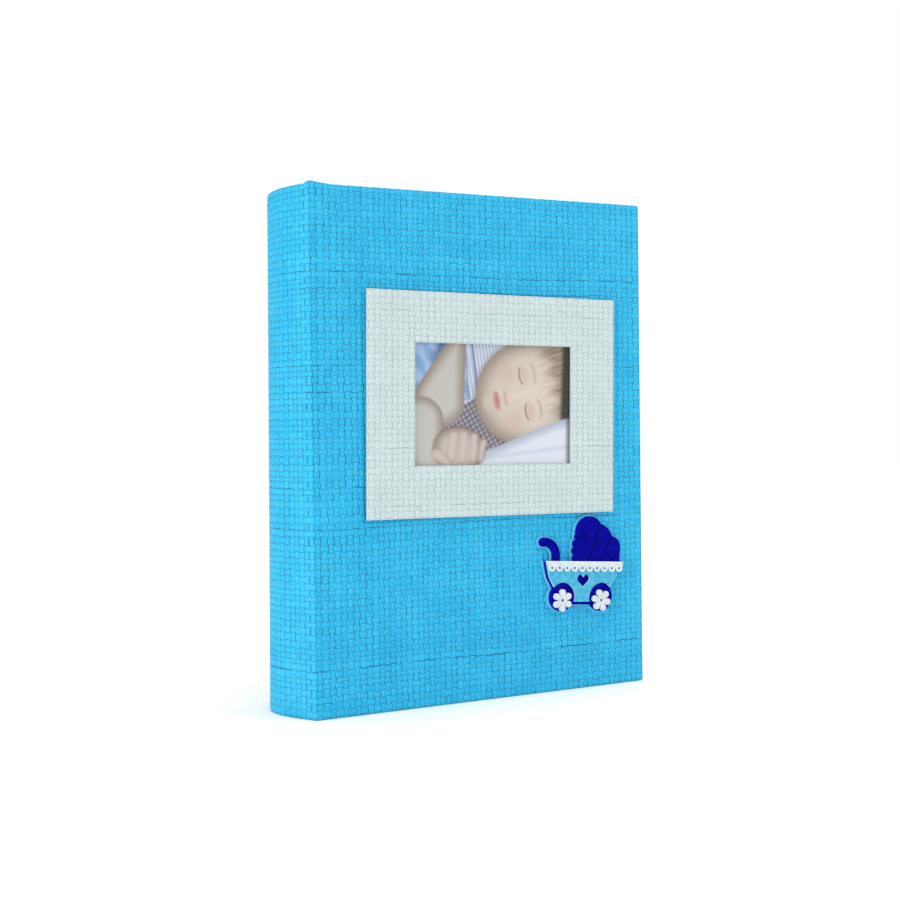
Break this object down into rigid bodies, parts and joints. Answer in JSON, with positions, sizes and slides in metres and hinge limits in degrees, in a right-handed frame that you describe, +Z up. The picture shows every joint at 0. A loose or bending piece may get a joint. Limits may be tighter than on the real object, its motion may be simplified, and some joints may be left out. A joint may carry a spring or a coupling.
{
  "type": "scrapbook album",
  "caption": "Case-bound scrapbook album in woven covers, with hinged covers, a fan of card leaves, a framed print that slides out and a layered felt pram.",
  "frame": {"origin": "middle of the bounding box's bottom, on the surface that the album stands on", "axes": "+Z up along the spine, -Y out of the front cover, +X from the spine to the fore edge"},
  "size_m": [0.2468, 0.071, 0.32],
  "materials": {
    "blue_weave": "matt woven paper ribbon",
    "white_weave": "matt woven paper ribbon",
    "greyboard": "matt",
    "endpaper": "matt",
    "card": "matt",
    "guard_card": "matt",
    "gauze": "matt",
    "band_cloth": "satin",
    "print_paper": "satin",
    "pale_felt": "matt",
    "dark_felt": "matt",
    "light_felt": "matt",
    "white_felt": "matt"
  },
  "bodies": {
    "spine": {"spine_board": "greyboard", "spine_cloth": "blue_weave", "spine_lining": "gauze", "leaf_stubs": "card", "page_guards": "guard_card", "head_band": "band_cloth", "tail_band": "band_cloth"},
    "front_cover": {"front_board": "greyboard", "front_cloth": "blue_weave", "front_pastedown": "endpaper", "frame_spacer": "greyboard", "frame_board": "greyboard", "frame_cloth": "white_weave", "pram_backing": "pale_felt", "pram_hood": "dark_felt", "pram_body": "light_felt", "pram_trim": "white_felt", "left_wheel_flower": "white_felt", "right_wheel_flower": "white_felt"},
    "print": {"photo_print": "print_paper"},
    "back_cover": {"back_board": "greyboard", "back_cloth": "blue_weave", "back_pastedown": "endpaper"},
    "front_flyleaf": {"front_flyleaf": "endpaper"},
    "back_flyleaf": {"back_flyleaf": "endpaper"},
    "leaf_01": {"leaf_01": "card"},
    "leaf_02": {"leaf_02": "card"},
    "leaf_03": {"leaf_03": "card"},
    "leaf_04": {"leaf_04": "card"},
    "leaf_05": {"leaf_05": "card"},
    "leaf_06": {"leaf_06": "card"},
    "leaf_07": {"leaf_07": "card"},
    "leaf_08": {"leaf_08": "card"},
    "leaf_09": {"leaf_09": "card"},
    "leaf_10": {"leaf_10": "card"},
    "leaf_11": {"leaf_11": "card"},
    "leaf_12": {"leaf_12": "card"},
    "leaf_13": {"leaf_13": "card"},
    "leaf_14": {"leaf_14": "card"},
    "leaf_15": {"leaf_15": "card"},
    "leaf_16": {"leaf_16": "card"},
    "leaf_17": {"leaf_17": "card"},
    "leaf_18": {"leaf_18": "card"},
    "leaf_19": {"leaf_19": "card"},
    "leaf_20": {"leaf_20": "card"},
    "leaf_21": {"leaf_21": "card"},
    "leaf_22": {"leaf_22": "card"},
    "leaf_23": {"leaf_23": "card"},
    "leaf_24": {"leaf_24": "card"},
    "leaf_25": {"leaf_25": "card"},
    "leaf_26": {"leaf_26": "card"},
    "leaf_27": {"leaf_27": "card"},
    "leaf_28": {"leaf_28": "card"},
    "leaf_29": {"leaf_29": "card"},
    "leaf_30": {"leaf_30": "card"}
  },
  "joints": [
    {"name": "front_cover_hinge", "type": "hinge", "parent": "spine", "child": "front_cover", "pos_m": [-0.11485, -0.0287, 0.16], "axis": [0, 0, -1], "range_deg": [0, 175]},
    {"name": "back_cover_hinge", "type": "hinge", "parent": "spine", "child": "back_cover", "pos_m": [-0.11485, 0.0338, 0.16], "axis": [0, 0, 1], "range_deg": [0, 175]},
    {"name": "print_slide", "type": "slide", "parent": "front_cover", "child": "print", "axis": [0.0157, 0, 0.9999], "range_m": [0, 0.12]},
    {"name": "front_flyleaf_crease", "type": "hinge", "parent": "spine", "child": "front_flyleaf", "pos_m": [-0.1016, -0.02627, 0.16], "axis": [0, 0, -1], "range_deg": [0, 70.01]},
    {"name": "leaf_01_crease", "type": "hinge", "parent": "spine", "child": "leaf_01", "pos_m": [-0.1016, -0.02453, 0.16], "axis": [0, 0, -1], "range_deg": [0, 66.01]},
    {"name": "leaf_02_crease", "type": "hinge", "parent": "spine", "child": "leaf_02", "pos_m": [-0.1016, -0.02266, 0.16], "axis": [0, 0, -1], "range_deg": [0, 61.46]},
    {"name": "leaf_03_crease", "type": "hinge", "parent": "spine", "child": "leaf_03", "pos_m": [-0.1016, -0.0208, 0.16], "axis": [0, 0, -1], "range_deg": [0, 56.91]},
    {"name": "leaf_04_crease", "type": "hinge", "parent": "spine", "child": "leaf_04", "pos_m": [-0.1016, -0.01893, 0.16], "axis": [0, 0, -1], "range_deg": [0, 52.35]},
    {"name": "leaf_05_crease", "type": "hinge", "parent": "spine", "child": "leaf_05", "pos_m": [-0.1016, -0.01706, 0.16], "axis": [0, 0, -1], "range_deg": [0, 47.8]},
    {"name": "leaf_06_crease", "type": "hinge", "parent": "spine", "child": "leaf_06", "pos_m": [-0.1016, -0.01519, 0.16], "axis": [0, 0, -1], "range_deg": [0, 43.25]},
    {"name": "leaf_07_crease", "type": "hinge", "parent": "spine", "child": "leaf_07", "pos_m": [-0.1016, -0.01333, 0.16], "axis": [0, 0, -1], "range_deg": [0, 38.7]},
    {"name": "leaf_08_crease", "type": "hinge", "parent": "spine", "child": "leaf_08", "pos_m": [-0.1016, -0.01146, 0.16], "axis": [0, 0, -1], "range_deg": [0, 34.15]},
    {"name": "leaf_09_crease", "type": "hinge", "parent": "spine", "child": "leaf_09", "pos_m": [-0.1016, -0.00959, 0.16], "axis": [0, 0, -1], "range_deg": [0, 29.6]},
    {"name": "leaf_10_crease", "type": "hinge", "parent": "spine", "child": "leaf_10", "pos_m": [-0.1016, -0.00772, 0.16], "axis": [0, 0, -1], "range_deg": [0, 25.04]},
    {"name": "leaf_11_crease", "type": "hinge", "parent": "spine", "child": "leaf_11", "pos_m": [-0.1016, -0.00585, 0.16], "axis": [0, 0, -1], "range_deg": [0, 20.49]},
    {"name": "leaf_12_crease", "type": "hinge", "parent": "spine", "child": "leaf_12", "pos_m": [-0.1016, -0.00399, 0.16], "axis": [0, 0, -1], "range_deg": [0, 15.94]},
    {"name": "leaf_13_crease", "type": "hinge", "parent": "spine", "child": "leaf_13", "pos_m": [-0.1016, -0.00212, 0.16], "axis": [0, 0, -1], "range_deg": [0, 11.39]},
    {"name": "leaf_14_crease", "type": "hinge", "parent": "spine", "child": "leaf_14", "pos_m": [-0.1016, -0.00025, 0.16], "axis": [0, 0, -1], "range_deg": [0, 6.84]},
    {"name": "leaf_15_crease", "type": "hinge", "parent": "spine", "child": "leaf_15", "pos_m": [-0.1016, 0.00162, 0.16], "axis": [0, 0, -1], "range_deg": [0, 2.29]},
    {"name": "leaf_16_crease", "type": "hinge", "parent": "spine", "child": "leaf_16", "pos_m": [-0.1016, 0.00348, 0.16], "axis": [0, 0, 1], "range_deg": [0, 2.29]},
    {"name": "leaf_17_crease", "type": "hinge", "parent": "spine", "child": "leaf_17", "pos_m": [-0.1016, 0.00535, 0.16], "axis": [0, 0, 1], "range_deg": [0, 6.84]},
    {"name": "leaf_18_crease", "type": "hinge", "parent": "spine", "child": "leaf_18", "pos_m": [-0.1016, 0.00722, 0.16], "axis": [0, 0, 1], "range_deg": [0, 11.39]},
    {"name": "leaf_19_crease", "type": "hinge", "parent": "spine", "child": "leaf_19", "pos_m": [-0.1016, 0.00909, 0.16], "axis": [0, 0, 1], "range_deg": [0, 15.94]},
    {"name": "leaf_20_crease", "type": "hinge", "parent": "spine", "child": "leaf_20", "pos_m": [-0.1016, 0.01095, 0.16], "axis": [0, 0, 1], "range_deg": [0, 20.49]},
    {"name": "leaf_21_crease", "type": "hinge", "parent": "spine", "child": "leaf_21", "pos_m": [-0.1016, 0.01282, 0.16], "axis": [0, 0, 1], "range_deg": [0, 25.04]},
    {"name": "leaf_22_crease", "type": "hinge", "parent": "spine", "child": "leaf_22", "pos_m": [-0.1016, 0.01469, 0.16], "axis": [0, 0, 1], "range_deg": [0, 29.6]},
    {"name": "leaf_23_crease", "type": "hinge", "parent": "spine", "child": "leaf_23", "pos_m": [-0.1016, 0.01656, 0.16], "axis": [0, 0, 1], "range_deg": [0, 34.15]},
    {"name": "leaf_24_crease", "type": "hinge", "parent": "spine", "child": "leaf_24", "pos_m": [-0.1016, 0.01843, 0.16], "axis": [0, 0, 1], "range_deg": [0, 38.7]},
    {"name": "leaf_25_crease", "type": "hinge", "parent": "spine", "child": "leaf_25", "pos_m": [-0.1016, 0.02029, 0.16], "axis": [0, 0, 1], "range_deg": [0, 43.25]},
    {"name": "leaf_26_crease", "type": "hinge", "parent": "spine", "child": "leaf_26", "pos_m": [-0.1016, 0.02216, 0.16], "axis": [0, 0, 1], "range_deg": [0, 47.8]},
    {"name": "leaf_27_crease", "type": "hinge", "parent": "spine", "child": "leaf_27", "pos_m": [-0.1016, 0.02403, 0.16], "axis": [0, 0, 1], "range_deg": [0, 52.35]},
    {"name": "leaf_28_crease", "type": "hinge", "parent": "spine", "child": "leaf_28", "pos_m": [-0.1016, 0.0259, 0.16], "axis": [0, 0, 1], "range_deg": [0, 56.91]},
    {"name": "leaf_29_crease", "type": "hinge", "parent": "spine", "child": "leaf_29", "pos_m": [-0.1016, 0.02776, 0.16], "axis": [0, 0, 1], "range_deg": [0, 61.46]},
    {"name": "leaf_30_crease", "type": "hinge", "parent": "spine", "child": "leaf_30", "pos_m": [-0.1016, 0.02963, 0.16], "axis": [0, 0, 1], "range_deg": [0, 66.01]},
    {"name": "back_flyleaf_crease", "type": "hinge", "parent": "spine", "child": "back_flyleaf", "pos_m": [-0.1016, 0.03138, 0.16], "axis": [0, 0, 1], "range_deg": [0, 70.01]}
  ],
  "couplings": [
    {"joint": "front_flyleaf_crease", "follows": "front_cover_hinge", "ratio": 0.4},
    {"joint": "leaf_01_crease", "follows": "front_cover_hinge", "ratio": 0.37714},
    {"joint": "leaf_02_crease", "follows": "front_cover_hinge", "ratio": 0.35113},
    {"joint": "leaf_03_crease", "follows": "front_cover_hinge", "ratio": 0.32512},
    {"joint": "leaf_04_crease", "follows": "front_cover_hinge", "ratio": 0.29911},
    {"joint": "leaf_05_crease", "follows": "front_cover_hinge", "ratio": 0.2731},
    {"joint": "leaf_06_crease", "follows": "front_cover_hinge", "ratio": 0.24709},
    {"joint": "leaf_07_crease", "follows": "front_cover_hinge", "ratio": 0.22108},
    {"joint": "leaf_08_crease", "follows": "front_cover_hinge", "ratio": 0.19507},
    {"joint": "leaf_09_crease", "follows": "front_cover_hinge", "ratio": 0.16906},
    {"joint": "leaf_10_crease", "follows": "front_cover_hinge", "ratio": 0.14305},
    {"joint": "leaf_11_crease", "follows": "front_cover_hinge", "ratio": 0.11704},
    {"joint": "leaf_12_crease", "follows": "front_cover_hinge", "ratio": 0.091034},
    {"joint": "leaf_13_crease", "follows": "front_cover_hinge", "ratio": 0.065025},
    {"joint": "leaf_14_crease", "follows": "front_cover_hinge", "ratio": 0.039015},
    {"joint": "leaf_15_crease", "follows": "front_cover_hinge", "ratio": 0.013005},
    {"joint": "leaf_16_crease", "follows": "back_cover_hinge", "ratio": 0.013005},
    {"joint": "leaf_17_crease", "follows": "back_cover_hinge", "ratio": 0.039015},
    {"joint": "leaf_18_crease", "follows": "back_cover_hinge", "ratio": 0.065025},
    {"joint": "leaf_19_crease", "follows": "back_cover_hinge", "ratio": 0.091034},
    {"joint": "leaf_20_crease", "follows": "back_cover_hinge", "ratio": 0.11704},
    {"joint": "leaf_21_crease", "follows": "back_cover_hinge", "ratio": 0.14305},
    {"joint": "leaf_22_crease", "follows": "back_cover_hinge", "ratio": 0.16906},
    {"joint": "leaf_23_crease", "follows": "back_cover_hinge", "ratio": 0.19507},
    {"joint": "leaf_24_crease", "follows": "back_cover_hinge", "ratio": 0.22108},
    {"joint": "leaf_25_crease", "follows": "back_cover_hinge", "ratio": 0.24709},
    {"joint": "leaf_26_crease", "follows": "back_cover_hinge", "ratio": 0.2731},
    {"joint": "leaf_27_crease", "follows": "back_cover_hinge", "ratio": 0.29911},
    {"joint": "leaf_28_crease", "follows": "back_cover_hinge", "ratio": 0.32512},
    {"joint": "leaf_29_crease", "follows": "back_cover_hinge", "ratio": 0.35113},
    {"joint": "leaf_30_crease", "follows": "back_cover_hinge", "ratio": 0.37714},
    {"joint": "back_flyleaf_crease", "follows": "back_cover_hinge", "ratio": 0.4}
  ]
}
